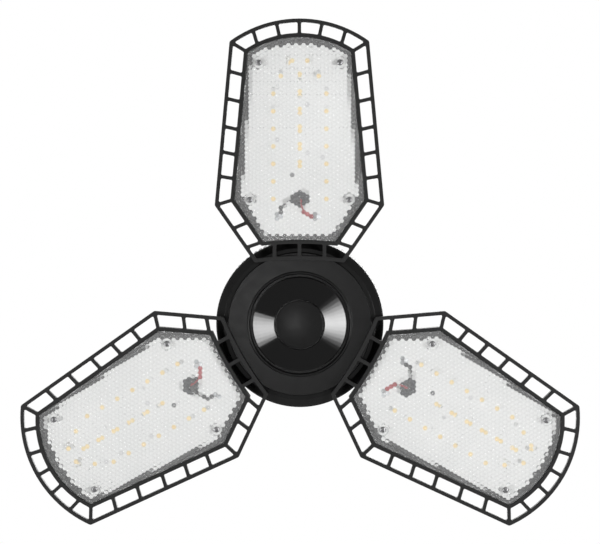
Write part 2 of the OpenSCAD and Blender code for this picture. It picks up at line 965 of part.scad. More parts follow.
// Sheathed leads from the board's underside through the drum to the hinge axis
module hub_leads() {
    color("#1c1c1e")
        for (k = [0:2])
            at_panel(k)
                lead(
                    [
                        [lead_side, lead_v, driver_depth],
                        [lead_side, lead_v, hinge_depth],
                        [lead_side, hinge_v, hinge_depth],
                        [0, hinge_v, hinge_depth]
                    ],
                    lead_r
                );
}

module housing_screws() {
    head_r = long_screw_r + 1.25;
    color("#8d8f92")
        at_front()
            for (a = pillar_angles)
                rotate(a)
                    translate([screw_circle_r, 0, floor_depth]) {
                        cylinder(r = long_screw_r, h = long_screw_l);
                        translate([0, 0, -screw_head_h]) cylinder(r = head_r, h = screw_head_h);
                    }
}

// -------------------------------------------------------------------- panels

// A lug on the tray's back, up to the hinge axis
module lug() {
    near_foot = hinge_v - eye_r - 1;
    far_foot = hinge_v + eye_r + 4;
    rotate([90, 0, 90])
        linear_extrude(hinge_t)
            difference() {
                union() {
                    translate([hinge_v, hinge_depth]) circle(r = eye_r);
                    polygon([
                        [near_foot, tray_depth - sink],
                        [far_foot, tray_depth - sink],
                        [hinge_v + eye_r, hinge_depth],
                        [hinge_v - eye_r, hinge_depth]
                    ]);
                }
                translate([hinge_v, hinge_depth]) circle(r = hinge_thread_r + grip_gap);
            }
}

// Outline of the fins: those in the middle begin beyond the channel
module fins() {
    margin = 4;
    side_v = hinge_v + 11;
    middle_v = channel_v + channel_l + 5;
    count = floor(tray_wide_w / fin_pitch);
    intersection() {
        offset(delta = -margin) tray_outline();
        for (i = [-count:count]) {
            start = abs(i * fin_pitch) < channel_half + fin_pitch / 2 ? middle_v : side_v;
            translate([i * fin_pitch - fin_t / 2, start])
                square([fin_t, tray_far_v + tray_rise - start]);
        }
    }
}

// The closed channel's walls, and the slot in it that takes the lead
module channel() {
    translate([grommet_place.x - channel_half, channel_v, tray_depth - sink])
        cube([2 * channel_half, channel_l, fin_h + sink]);
}

module channel_slot() {
    half = lead_r + fit_gap;
    sway = 1.3;
    translate([grommet_place.x - half - sway, channel_v - 1, channel_depth - half])
        cube([2 * (half + sway), channel_l - 1, 2 * half]);
}

module housing(k) {
    hole_r = grommet_r - 1 + fit_gap;
    boss_wall = 1.6;
    small_screw_places = concat(lens_screw_places, [board_screw_place]);
    color("#2e2e30")
        at_panel(k)
            difference() {
                union() {
                    linear_extrude(frame_t) ladder();
                    translate([0, 0, frame_t - 0.2])
                        linear_extrude(tray_depth - frame_t + 0.2) tray_outline();
                    translate([0, 0, tray_depth - sink]) linear_extrude(fin_h + sink) fins();
                    translate([lug_in, 0, 0]) lug();
                    translate([-lug_out, 0, 0]) lug();
                    channel();
                    for (p = small_screw_places)
                        translate([p.x, p.y, tray_depth - sink])
                            cylinder(r = small_screw_r + boss_wall, h = small_screw_back + sink);
                }
                translate([0, 0, lens_back])
                    linear_extrude(board_back - lens_back)
                        offset(delta = -ledge_w) tray_inside();
                translate([0, 0, -1]) linear_extrude(lens_back + 1) tray_inside();
                for (p = small_screw_places)
                    translate([p.x, p.y, board_back - 1])
                        cylinder(r = small_screw_r + grip_gap, h = tray_floor + small_screw_back);
                translate([grommet_place.x, grommet_place.y, board_back - 1])
                    cylinder(r = hole_r, h = channel_depth - board_back + 1);
                channel_slot();
            }
}

module led_board_outline() {
    polygon(outline(board_near, board_wide, board_far, board_rise, 0));
}

module led_board(k) {
    color("#eeeeea")
        at_panel(k)
            translate([0, 0, board_face])
                difference() {
                    linear_extrude(led_board_t) led_board_outline();
                    for (p = concat(lens_screw_places, [board_screw_place]))
                        translate([p.x, p.y, -1])
                            cylinder(r = small_screw_r + fit_gap, h = led_board_t + 2);
                    translate([grommet_place.x, grommet_place.y, -1])
                        cylinder(r = grommet_r - 1 + fit_gap, h = led_board_t + 2);
                }
}

// Middle row, two side rows and the narrower rows towards the far arc
led_places = concat(
    [for (i = [0:5]) [0, led_first_v + i * led_pitch]],
    [for (i = [0:6], s = [-1, 1]) [s * led_row, side_led_first_v + i * led_pitch]],
    [for (s = [-1, 1]) [s * 0.69 * led_row, led_first_v + 5 * led_pitch]],
    [for (s = [-1, 1]) [s * led_row / 3, led_first_v + 5.8 * led_pitch]]
);

module leds(k) {
    color("#f2e2ae")
        at_panel(k)
            for (p = led_places)
                translate([p.x - led_w / 2, p.y - led_l / 2, board_face - led_h])
                    cube([led_w, led_l, led_h]);
}

module lens(k) {
    step = 0.1;
    color("#e8eef0", 0.45)
        at_panel(k)
            difference() {
                union() {
                    translate([0, 0, lens_depth])
                        linear_extrude(lens_t) offset(delta = -lens_gap) tray_inside();
                    for (p = lens_screw_places)
                        translate([p.x, p.y, lens_depth + step])
                            cylinder(r = boss_r, h = board_face - lens_depth - step);
                }
                for (p = lens_screw_places)
                    translate([p.x, p.y, 0]) {
                        cylinder(r = small_screw_r + fit_gap, h = board_face + 1);
                        cylinder(r = small_head_r + fit_gap, h = head_seat);
                    }
            }
}

// A small pan-head screw whose head rests at z = 0, with a cross recess
module small_screw(length) {
    recess_l = 1.3 * small_head_r;
    recess_w = 0.4;
    recess_h = 0.5;
    cylinder(r = small_screw_r, h = length);
    translate([0, 0, -small_head_h])
        difference() {
            cylinder(r = small_head_r, h = small_head_h);
            for (a = [0, 90])
                rotate(a)
                    translate([-recess_l / 2, -recess_w / 2, -recess_h])
                        cube([recess_l, recess_w, 2 * recess_h]);
        }
}

// A small screw's tip stands this deep, inside the boss on the tray's back
small_screw_tip = tray_depth + small_screw_back - 1.4;

module lens_screws(k) {
    color("#56575a")
        at_panel(k)
            for (p = lens_screw_places)
                translate([p.x, p.y, head_seat]) small_screw(small_screw_tip - head_seat);
}

module board_screw(k) {
    color("#56575a")
        at_panel(k)
            translate([board_screw_place.x, board_screw_place.y, board_face])
                small_screw(small_screw_tip - board_face);
}

module grommet(k) {
    color("#151516")
        at_panel(k)
            translate([grommet_place.x, grommet_place.y, board_face - grommet_flange])
                difference() {
                    union() {
                        cylinder(r = grommet_r, h = grommet_flange);
                        cylinder(r = grommet_r - 1, h = tray_depth - board_face + grommet_flange);
                    }
                    translate([0, 0, -1])
                        cylinder(r = lead_r + grip_gap, h = tray_depth + grommet_flange + 2);
                }
}

// The sheathed lead from the hinge axis through the channel and the grommet
module panel_lead(k) {
    color("#1c1c1e")
        at_panel(k)
            lead(
                [
                    [0, hinge_v, hinge_depth],
                    [-lead_side, hinge_v, hinge_depth],
                    [-lead_side, channel_v - 1, channel_depth],
                    [grommet_place.x, grommet_place.y, channel_depth],
                    [grommet_place.x, grommet_place.y, board_face - grommet_flange]
                ],
                lead_r
            );
}

// A wire from the sheathed lead's end, over the grommet, down to a pad
module board_wire(pad, side) {
    lift = 0.05;
    mouth = board_face - grommet_flange;
    over = mouth - wire_r - lift;
    start = [grommet_place.x + side * (wire_r + 3 * lift), grommet_place.y];
    edge = grommet_place + unit(pad - grommet_place) * (grommet_r + 2 * wire_r);
    lead(
        [
            [start.x, start.y, mouth],
            [start.x, start.y, over],
            [edge.x, edge.y, over],
            [pad.x, pad.y, board_face - wire_r - lift]
        ],
        wire_r
    );
}

module red_wire(k) {
    color("#b3262b") at_panel(k) board_wire(red_pad, -1);
}

module black_wire(k) {
    color("#1c1c1e") at_panel(k) board_wire(black_pad, 1);
}

module hinge_screws(k) {
    tip = lug_in + 0.4;
    shoulder_in = lug_out + side_gap / 2;
    head_in = ear_out + side_gap;
    lap = 0.1;
    color("#8d8f92")
        at_panel(k)
            at_hinge()
                for (side = [0, 1])
                    mirror([side, 0, 0]) {
                        lying(tip, shoulder_in + lap, hinge_thread_r);
                        lying(shoulder_in, head_in + lap, shoulder_r);
                        lying(head_in, head_in + hinge_head_h, hinge_head_r);
                    }
}

module hinge_washers(k) {
    color("#c8c9cb")
        at_panel(k)
            at_hinge()
                for (side = [0, 1])
                    mirror([side, 0, 0])
                        difference() {
                            lying(lug_out + side_gap, ear_in - side_gap, eye_r - 2 * run_gap);
                            lying(lug_out, ear_in, shoulder_r + 2 * run_gap);
                        }
}

// ------------------------------------------------------------------ the nodes

screw_shell();
cap_insulator();
contact_button();
upper_housing();
driver_drum();
front_ring();
front_cone();
centre_cap();
cap_clip();
driver_board();
input_capacitor();
output_capacitor();
transformer_core();
transformer_coil();
filter_choke();
bridge_rectifier();
driver_chip();
fuse();
live_lead();
neutral_lead();
hub_leads();
housing_screws();
for (k = [0:len(PANELS) - 1]) {
    housing(k);
    led_board(k);
    leds(k);
    lens(k);
    lens_screws(k);
    board_screw(k);
    grommet(k);
    red_wire(k);
    black_wire(k);
    panel_lead(k);
    hinge_screws(k);
    hinge_washers(k);
}
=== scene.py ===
"""Deformable garage light: finishes, lens optics, LEDs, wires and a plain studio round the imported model."""

import json
import math

import bmesh
import bpy
from mathutils import Matrix, Vector
from mathutils.geometry import delaunay_2d_cdt


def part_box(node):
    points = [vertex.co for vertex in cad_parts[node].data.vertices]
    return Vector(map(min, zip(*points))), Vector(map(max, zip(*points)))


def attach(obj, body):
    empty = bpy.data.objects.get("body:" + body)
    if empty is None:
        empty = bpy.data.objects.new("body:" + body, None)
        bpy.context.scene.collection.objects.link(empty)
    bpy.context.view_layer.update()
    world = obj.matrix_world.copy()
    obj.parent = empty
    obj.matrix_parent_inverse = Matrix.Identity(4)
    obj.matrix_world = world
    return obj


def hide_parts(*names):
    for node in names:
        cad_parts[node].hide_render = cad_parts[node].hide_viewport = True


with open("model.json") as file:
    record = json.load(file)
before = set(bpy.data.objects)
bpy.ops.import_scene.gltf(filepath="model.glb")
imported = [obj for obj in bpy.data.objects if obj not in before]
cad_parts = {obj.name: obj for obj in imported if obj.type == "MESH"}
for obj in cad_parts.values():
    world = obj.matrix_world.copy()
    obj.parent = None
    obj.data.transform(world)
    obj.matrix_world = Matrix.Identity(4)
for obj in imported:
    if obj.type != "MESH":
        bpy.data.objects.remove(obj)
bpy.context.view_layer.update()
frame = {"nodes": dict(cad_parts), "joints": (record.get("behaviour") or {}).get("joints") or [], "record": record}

MM = 0.001
NODES = frame["nodes"]

# ------------------------------------------------------------------ panels

FRONT_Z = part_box("housing_a")[0].z
BOARD_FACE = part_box("led_board_a")[0].z - FRONT_Z


def panel_matrix(joint):
    """From a panel's own frame to the part's: x across, y outward, z the depth behind the front plane."""
    angle = math.atan2(joint["pos_m"][1], joint["pos_m"][0])
    turn = Matrix.Rotation(angle - math.pi / 2, 4, "Z")
    return turn @ Matrix.Translation((0, 0, FRONT_Z))


PANELS = {joint["child"][-1]: panel_matrix(joint) for joint in frame["joints"]}


# --------------------------------------------------------------- materials

# How far the edges of moulded and coated pieces look rounded
EDGE_MM = 0.35


class Finish:
    """A procedural material: one Principled surface and the textures that vary it, in object space."""

    def __init__(self, name, colour, roughness, metallic=0.0, specular=0.5):
        self.material = bpy.data.materials.new(name)
        self.material.use_nodes = True
        self.nodes = self.material.node_tree.nodes
        self.links = self.material.node_tree.links
        self.surface = self.nodes["Principled BSDF"]
        self.set("Base Color", (*colour, 1.0))
        self.set("Roughness", roughness)
        self.set("Metallic", metallic)
        self.set("Specular IOR Level", specular)
        self.place = self.nodes.new("ShaderNodeTexCoord").outputs["Object"]

    def set(self, socket, value):
        """Sets one input of the surface."""
        self.surface.inputs[socket].default_value = value
        return self

    def noise(self, size_mm, detail=3.0, stretch=None):
        """Noise whose blots are about size_mm across, longer along an axis whose stretch is above 1."""
        place = self.place
        if stretch:
            mapping = self.nodes.new("ShaderNodeMapping")
            mapping.inputs["Scale"].default_value = [1 / s for s in stretch]
            self.links.new(self.place, mapping.inputs["Vector"])
            place = mapping.outputs["Vector"]
        texture = self.nodes.new("ShaderNodeTexNoise")
        texture.inputs["Scale"].default_value = 1 / (size_mm * MM)
        texture.inputs["Detail"].default_value = detail
        self.links.new(place, texture.inputs["Vector"])
        return texture.outputs["Fac"]

    def ramp(self, factor, low, high, start=0.3, end=0.7):
        """Maps a factor's middle range to values from low to high."""
        node = self.nodes.new("ShaderNodeMapRange")
        node.inputs["From Min"].default_value = start
        node.inputs["From Max"].default_value = end
        node.inputs["To Min"].default_value = low
        node.inputs["To Max"].default_value = high
        self.links.new(factor, node.inputs["Value"])
        return node.outputs["Result"]

    def vary_roughness(self, factor, low, high):
        """Lets a factor move the roughness between two values."""
        self.links.new(self.ramp(factor, low, high), self.surface.inputs["Roughness"])
        return self

    def vary_colour(self, factor, first, second, start=0.3, end=0.7):
        """Lets a factor move the colour between two others."""
        mix = self.nodes.new("ShaderNodeMix")
        mix.data_type = "RGBA"
        mix.inputs["A"].default_value = (*first, 1.0)
        mix.inputs["B"].default_value = (*second, 1.0)
        self.links.new(self.ramp(factor, 0.0, 1.0, start, end), mix.inputs["Factor"])
        self.links.new(mix.outputs["Result"], self.surface.inputs["Base Color"])
        return self

    def bump(self, height, depth_mm, edge_mm=0.0):
        """Raises a factor as relief, over edges that are rounded by edge_mm."""
        node = self.nodes.new("ShaderNodeBump")
        node.inputs["Distance"].default_value = depth_mm * MM
        self.links.new(height, node.inputs["Height"])
        self.links.new(node.outputs["Normal"], self.surface.inputs["Normal"])
        if edge_mm:
            edge = self.nodes.new("ShaderNodeBevel")
            edge.samples = 6
            edge.inputs["Radius"].default_value = edge_mm * MM
            self.links.new(edge.outputs["Normal"], node.inputs["Normal"])
        return self


def grey(value):
    """A neutral colour."""
    return (value, value, value)


def moulded(name, level, roughness, grain_mm=0.45, depth_mm=0.035, specular=0.4):
    """Moulded black plastic with a spark-eroded grain and faint cloudiness."""
    finish = Finish(name, grey(level), roughness, specular=specular)
    finish.vary_colour(finish.noise(9.0), grey(level * 0.85), grey(level * 1.2))
    finish.vary_roughness(finish.noise(4.0), roughness - 0.02, roughness + 0.03)
    finish.bump(finish.noise(grain_mm, 2.0), depth_mm, EDGE_MM)
    return finish.material


def coated_black():
    """Powder-coated panel: fine orange peel, a little dust in the grain."""
    finish = Finish("panel_black", grey(0.014), 0.42, specular=0.22)
    finish.vary_colour(finish.noise(0.7, 4.0), grey(0.012), grey(0.018))
    finish.vary_roughness(finish.noise(6.0), 0.38, 0.48)
    finish.bump(finish.noise(0.55, 3.0), 0.012, EDGE_MM)
    return finish.material


def gloss_black():
    """Polished black cone: only faint wipe marks in its gloss."""
    finish = Finish("cone_gloss", grey(0.002), 0.1, specular=0.22)
    finish.vary_roughness(finish.noise(5.0, 5.0, (1, 3, 1)), 0.055, 0.09)
    finish.bump(finish.noise(12.0, 1.0), 0.01, EDGE_MM)
    return finish.material


def metal(name, colour, roughness, grain=(1, 1, 1), grain_mm=0.6, depth_mm=0.008):
    """Satin metal with a fine grain, drawn out along one axis if need be."""
    finish = Finish(name, colour, roughness, metallic=1.0)
    dark = tuple(c * 0.82 for c in colour)
    finish.vary_colour(finish.noise(3.0, 4.0), dark, colour)
    finish.vary_roughness(finish.noise(grain_mm, 3.0, grain), roughness - 0.07, roughness + 0.09)
    finish.bump(finish.noise(grain_mm, 2.0, grain), depth_mm)
    return finish.material


def plastic(name, colour, roughness, specular=0.45, mottle=0.12, grain_mm=0.8, depth_mm=0.012):
    """Coloured plastic or lacquer with slight mottling."""
    finish = Finish(name, colour, roughness, specular=specular)
    low = tuple(c * (1 - mottle) for c in colour)
    high = tuple(min(c * (1 + mottle), 0.95) for c in colour)
    finish.vary_colour(finish.noise(2.5, 3.0), low, high)
    finish.vary_roughness(finish.noise(1.5), roughness - 0.05, roughness + 0.07)
    finish.bump(finish.noise(grain_mm, 2.0), depth_mm)
    return finish.material


def board_white():
    """White solder mask over aluminium: nearly even, with the copper's edges just felt."""
    finish = Finish("board_white", (0.86, 0.862, 0.85), 0.55, specular=0.25)
    finish.vary_colour(finish.noise(14.0, 3.0), (0.835, 0.84, 0.83), (0.88, 0.88, 0.868))
    finish.vary_roughness(finish.noise(2.0), 0.5, 0.62)
    finish.bump(finish.noise(1.6, 3.0), 0.01)
    return finish.material


def clear_lens():
    """Clear polycarbonate with the slightest waviness of a moulded sheet."""
    finish = Finish("lens_clear", (0.985, 0.99, 0.99), 0.1)
    finish.set("Transmission Weight", 0.93)
    finish.set("IOR", 1.585)
    finish.bump(finish.noise(22.0, 1.0), 0.03)
    return finish.material


def phosphor():
    """Yellow phosphor in clear resin, slightly grainy."""
    finish = Finish("led_phosphor", (0.93, 0.73, 0.38), 0.42, specular=0.5)
    finish.vary_colour(finish.noise(0.35, 4.0), (0.92, 0.69, 0.32), (0.94, 0.78, 0.45))
    finish.bump(finish.noise(0.2, 3.0), 0.01)
    return finish.material


def cast_ferrite():
    """Sintered ferrite, dull and pitted."""
    return plastic("ferrite", (0.06, 0.06, 0.062), 0.7, mottle=0.3, grain_mm=0.3, depth_mm=0.04)


def wound_copper():
    """Enamelled wire laid in turns round the choke, with painted shade: the colour darkens into the grooves
    between turns.
    """
    finish = Finish("copper_wire", (0.62, 0.23, 0.08), 0.28, metallic=0.85)
    turn_relief_and_shade = finish.nodes.new("ShaderNodeTexWave")
    turn_relief_and_shade.bands_direction = "Z"
    turn_relief_and_shade.inputs["Scale"].default_value = 0.5 / (0.32 * MM)
    finish.links.new(finish.place, turn_relief_and_shade.inputs["Vector"])
    # Painted shade: the colour follows the turns' relief, dark in the grooves between turns and light on their
    # crests
    finish.vary_colour(turn_relief_and_shade.outputs["Fac"], (0.3, 0.09, 0.03), (0.66, 0.26, 0.09), 0.0, 1.0)
    finish.bump(turn_relief_and_shade.outputs["Fac"], 0.08)
    return finish.material


LOOKS = {
    "cap_metal": metal("cap_metal", (0.74, 0.73, 0.7), 0.26, (6, 6, 1)),
    "cap_insulator": plastic("cap_insulator", grey(0.012), 0.16, specular=0.5, mottle=0.25, grain_mm=3.0,
                             depth_mm=0.03),
    "contact": metal("contact", (0.66, 0.56, 0.36), 0.33),
    "housing_plastic": moulded("housing_plastic", 0.014, 0.36, depth_mm=0.012, specular=0.25),
    "ring_plastic": moulded("ring_plastic", 0.006, 0.22, grain_mm=0.4, depth_mm=0.002, specular=0.17),
    "cone_gloss": gloss_black(),
    "panel_black": coated_black(),
    "board_white": board_white(),
    "led_phosphor": phosphor(),
    "lens_clear": clear_lens(),
    "screw_dark": metal("screw_dark", (0.28, 0.28, 0.285), 0.34),
    "screw_steel": metal("screw_steel", (0.48, 0.48, 0.49), 0.32),
    "grommet_rubber": plastic("grommet_rubber", (0.011, 0.013, 0.015), 0.62, specular=0.35, mottle=0.3,
                              grain_mm=0.5, depth_mm=0.03),
    "wire_red": plastic("wire_red", (0.34, 0.012, 0.018), 0.4),
    "lead_sheath": plastic("lead_sheath", grey(0.01), 0.42),
    "circuit_board": plastic("circuit_board", (0.5, 0.38, 0.2), 0.5, mottle=0.1),
    "capacitor_sleeve": plastic("capacitor_sleeve", (0.03, 0.07, 0.2), 0.3),
    "capacitor_black": plastic("capacitor_black", grey(0.02), 0.32),
    "ferrite": cast_ferrite(),
    "coil_tape": plastic("coil_tape", (0.62, 0.4, 0.07), 0.35),
    "copper_wire": wound_copper(),
    "chip_black": plastic("chip_black", grey(0.018), 0.55),
    "fuse_body": plastic("fuse_body", (0.68, 0.63, 0.5), 0.6, mottle=0.05),
    "lead_brown": plastic("lead_brown", (0.17, 0.05, 0.02), 0.4),
    "lead_blue": plastic("lead_blue", (0.04, 0.13, 0.42), 0.4),
}
LED_WHITE = plastic("led_white", (0.84, 0.83, 0.79), 0.4, mottle=0.03, grain_mm=0.3, depth_mm=0.005)
SOLDER = metal("solder", (0.5, 0.51, 0.52), 0.62, grain_mm=0.5, depth_mm=0.03)
DULL_TIN = plastic("dull_tin", grey(0.66), 0.6, specular=0.3, mottle=0.08, grain_mm=0.4, depth_mm=0.004)
TINNED = metal("tinned_copper", (0.66, 0.6, 0.54), 0.3)


# ------------------------------------------------------------ mesh helpers

# How close two points, or a point and an axis, are taken to meet
NEAR = 0.001 * MM

# Corners that turn less than this, in radians, stay sharp, and arcs take up at most this share of a side
SMALL_TURN = 0.15
ARC_SHARE = 0.45


def finished(bm, name, sharp_degrees=38.0):
    """Turns a bmesh into a mesh with smooth faces and sharp creases."""
    bmesh.ops.recalc_face_normals(bm, faces=bm.faces)
    mesh = bpy.data.meshes.new(name)
    bm.to_mesh(mesh)
    bm.free()
    mesh.shade_smooth()
    if sharp_degrees:
        mesh.set_sharp_from_angle(angle=math.radians(sharp_degrees))
    return mesh


def show(mesh, name, body, slot=None, materials=(), replaces=()):
    """Makes a piece from a mesh that is already in place, and lets it ride on its body."""
    piece = bpy.data.objects.new(name, mesh)
    bpy.context.scene.collection.objects.link(piece)
    for material in materials or [LOOKS[slot]]:
        mesh.materials.append(material)
    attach(piece, body)
    if replaces:
        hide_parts(*replaces)
    return piece


def on_panels(mesh, name, slot=None, materials=(), replaced=()):
    """One copy of a mesh in a panel's own frame for each panel."""
    pieces = []
    for panel, matrix in PANELS.items():
        copy = mesh.copy()
        copy.transform(matrix)
        nodes = [f"{node}_{panel}" for node in replaced]
        pieces.append(show(copy, f"{name}_{panel}", f"panel_{panel}", slot, materials, nodes))
    bpy.data.meshes.remove(mesh)
    return pieces


def rounded(profile, radius, steps=3):
    """A closed profile whose corners are arcs, as far as the lengths beside them allow."""
    points = []
    for i, corner in enumerate(profile):
        p, q = Vector(corner), Vector(profile[i - 1])
        n = Vector(profile[(i + 1) % len(profile)])
        before, after = q - p, n - p
        turn = math.pi - before.angle(after)
        if corner[0] < NEAR or turn < SMALL_TURN:
            points.append(tuple(p))
            continue
        reach = min(radius * math.tan(turn / 2), ARC_SHARE * before.length, ARC_SHARE * after.length)
        start, end = p + before.normalized() * reach, p + after.normalized() * reach
        for s in range(steps + 1):
            t = s / steps
            points.append(tuple((1 - t) ** 2 * start + 2 * t * (1 - t) * p + t * t * end))
    return points


def lathe(bm, profile, segments=96, centre=(0.0, 0.0)):
    """Turns a closed profile of (radius, height) points about an upright axis."""
    rings = []
    for r, z in profile:
        if r < NEAR:
            rings.append([bm.verts.new((centre[0], centre[1], z))])
            continue
        ring = []
        for s in range(segments):
            a = 2 * math.pi * s / segments
            ring.append(bm.verts.new((centre[0] + r * math.cos(a), centre[1] + r * math.sin(a), z)))
        rings.append(ring)
    for i, ring in enumerate(rings):
        other = rings[(i + 1) % len(rings)]
        if len(ring) == 1 and len(other) == 1:
            continue
        for s in range(segments):
            t = (s + 1) % segments
            if len(ring) == 1:
                bm.faces.new((ring[0], other[t], other[s]))
            elif len(other) == 1:
                bm.faces.new((ring[s], ring[t], other[0]))
            else:
                bm.faces.new((ring[s], ring[t], other[t], other[s]))


def smooth_path(points, steps=8):
    """A Catmull-Rom curve through given points."""
    points = [Vector(p) for p in points]
    points = [2 * points[0] - points[1], *points, 2 * points[-1] - points[-2]]
    path = []
    for i in range(1, len(points) - 2):
        a, b, c, d = points[i - 1 : i + 3]
        for s in range(steps):
            t = s / steps
            path.append(
                0.5 * (2 * b + (c - a) * t + (2 * a - 5 * b + 4 * c - d) * t * t
                       + (3 * b - a - 3 * c + d) * t ** 3)
            )
    return path + [points[-2]]


def sweep(bm, path, radius, sides=14):
    """A round tube with closed ends along a path; gives back its faces."""
    side = (path[1] - path[0]).orthogonal().normalized()
    rings = []
    for i, point in enumerate(path):
        along = (path[min(i + 1, len(path) - 1)] - path[max(i - 1, 0)]).normalized()
        side = (side - along * side.dot(along)).normalized()
        up = along.cross(side)
        ring = []
        for s in range(sides):
            a = 2 * math.pi * s / sides
            ring.append(bm.verts.new(point + radius * (math.cos(a) * side + math.sin(a) * up)))
        rings.append(ring)
    faces = [bm.faces.new(rings[0][::-1]), bm.faces.new(rings[-1])]
    for ring, other in zip(rings, rings[1:]):
        for s in range(sides):
            faces.append(bm.faces.new((ring[s], ring[(s + 1) % sides], other[(s + 1) % sides], other[s])))
    return faces


def block(bm, low, high, bevel):
    """A box with chamfered edges; gives back its faces."""
    before = set(bm.faces)
    made = bmesh.ops.create_cube(bm, size=1.0)
    low, high = Vector(low), Vector(high)
    for v in made["verts"]:
        v.co = Vector((low[i] if v.co[i] < 0 else high[i] for i in range(3)))
    edges = dict.fromkeys(e for v in made["verts"] for e in v.link_edges)
    bmesh.ops.bevel(bm, geom=list(edges), offset=bevel, segments=2, profile=0.6, affect="EDGES")
    return [face for face in bm.faces if face not in before]


# -------------------------------------------------------------------- lens

# The prisms: their hexagons' pitch, the centre of one of them, and the hyperbola of their caps
HEX_PITCH = 2.465 * MM
HEX_CENTRE = Vector((4.05, 84.4)) * MM
TIP_R = 1.3 * MM
SPREAD = -1.0
APOTHEM = HEX_PITCH / 2
CORNER_R = HEX_PITCH / math.sqrt(3)
COLUMN = HEX_PITCH * math.sqrt(3) / 2
INNER_RING = 0.55 * CORNER_R

# The cover: depths of the prisms' tips and of the screws' seats, its chamfer, its bosses and their holes;
# what lies within BOSS_REACH of a boss's centre belongs to the boss
LENS_BACK = 2.2 * MM
SCREW_SEAT = 2.1 * MM
LENS_CHAMFER = 0.35 * MM
BOSS_R = 3.1 * MM
BOSS_REACH = 1.1 * BOSS_R
HOLE_R = 1.15 * MM
BOSS_SIDES = 32
COVER_CREASE = math.radians(30)

# How close points and lines of the cover are taken to meet
MERGE = 0.0005 * MM
BORDER_SLACK = 0.002 * MM
BOSS_SLACK = 0.02 * MM
POINTS_PER_M = 1e7


def cell(column, row):
    """The centre of a hexagon, counted in columns and rows from the one at HEX_CENTRE."""
    return HEX_CENTRE + Vector((column * COLUMN, (row + (column % 2) / 2) * HEX_PITCH))


def cell_centre(x, y):
    """The centre of the hexagon that a point lies in."""
    point = Vector((x, y))
    near = round((x - HEX_CENTRE.x) / COLUMN)
    centres = []
    for column in (near - 1, near, near + 1):
        row = round((y - cell(column, 0).y) / HEX_PITCH)
        centres.append(cell(column, row))
    return min(centres, key=lambda centre: (centre - point).length)


def sag(r):
    """How far a prism's cap falls off at a radius: a hyperbola with TIP_R at its tip."""
    return r * r / TIP_R / (1 + math.sqrt(1 - SPREAD * (r / TIP_R) ** 2))


def bump_height(x, y):
    """How far the prism's cap stands out there, 0 at the hexagon's corners."""
    r = (Vector((x, y)) - cell_centre(x, y)).length
    return sag(CORNER_R) - sag(min(r, CORNER_R))


def on_border(x, y):
    """Whether a point lies on the line between two hexagons."""
    offset = Vector((x, y)) - cell_centre(x, y)
    sides = [Vector((math.sin(a), math.cos(a))) for a in (0, math.pi / 3, 2 * math.pi / 3)]
    return max(abs(offset.dot(side)) for side in sides) > APOTHEM - BORDER_SLACK


def flat_loops(node, matrix):
    """The loops round a node's lowest flat face, in a panel's own frame, largest first."""
    bm = bmesh.new()
    bm.from_mesh(NODES[node].data)
    bmesh.ops.remove_doubles(bm, verts=bm.verts, dist=NEAR)
    low = min(v.co.z for v in bm.verts)
    flat = dict.fromkeys(f for f in bm.faces if all(v.co.z < low + NEAR for v in f.verts))
    steps = {}
    for face in flat:
        for loop in face.loops:
            if len([f for f in loop.edge.link_faces if f in flat]) == 1:
                steps[loop.vert] = loop.link_loop_next.vert
    inverse = matrix.inverted()
    loops = []
    while steps:
        vert = next(iter(steps))
        line = []
        while vert in steps:
            line.append((inverse @ vert.co).to_2d())
            vert = steps.pop(vert)
        loops.append(line)
    bm.free()
    return sorted(loops, key=lambda line: -len(line) * (line[0] - line[len(line) // 2]).length)


def middle_of(points):
    """The mean of flat points."""
    return sum(points, Vector((0, 0))) / len(points)


def polar(radius, degrees):
    """A flat vector by its length and direction."""
    return radius * Vector((math.cos(math.radians(degrees)), math.sin(math.radians(degrees))))


def circle(centre, radius, count):
    """Evenly spaced points on a circle."""
    return [
        Vector((centre.x + radius * math.cos(2 * math.pi * i / count),
                centre.y + radius * math.sin(2 * math.pi * i / count)))
        for i in range(count)
    ]


def inside(point, line):
    """Whether a point lies within a closed line."""
    hit = False
    for p, q in zip(line, line[1:] + line[:1]):
        if (p.y > point.y) != (q.y > point.y):
            if point.x < p.x + (point.y - p.y) / (q.y - p.y) * (q.x - p.x):
                hit = not hit
    return hit


def pulled_in(line, width):
    """A closed line moved inward by a width."""
    area = sum(p.x * q.y - q.x * p.y for p, q in zip(line, line[1:] + line[:1]))
    out = []
    for i, point in enumerate(line):
        run = (line[(i + 1) % len(line)] - line[i - 1]).normalized()
        side = Vector((-run.y, run.x)) * (1 if area > 0 else -1)
        out.append(point + side * width)
    return out


def moved_with(point, line, moved):
    """Where a point on a closed line goes when the line's corners move."""
    best = None
    for i, p in enumerate(line):
        q = line[i - 1]
        share = min(max((point - p).dot(q - p) / (q - p).length_squared, 0.0), 1.0)
        gap = (p.lerp(q, share) - point).length
        if best is None or gap < best[0]:
            best = (gap, moved[i].lerp(moved[i - 1], share))
    return best[1]


def edge_chains(edges):
    """Closed rows of vertices along loose rim edges."""
    left = dict.fromkeys(edges)
    chains = []
    while left:
        edge, _ = left.popitem()
        chain = [edge.verts[0], edge.verts[1]]
        while True:
            step = next((e for e in chain[-1].link_edges if e in left), None)
            if step is None:
                break
            del left[step]
            chain.append(step.other_vert(chain[-1]))
        chains.append(chain[:-1])
    return chains


def wall(bm, chain, flat, z):
    """Joins a closed row of vertices to a new one at other places."""
    row = [bm.verts.new((p.x, p.y, z)) for p in flat]
    for i in range(len(chain)):
        j = (i + 1) % len(chain)
        bm.faces.new((chain[i], chain[j], row[j], row[i]))
    return row


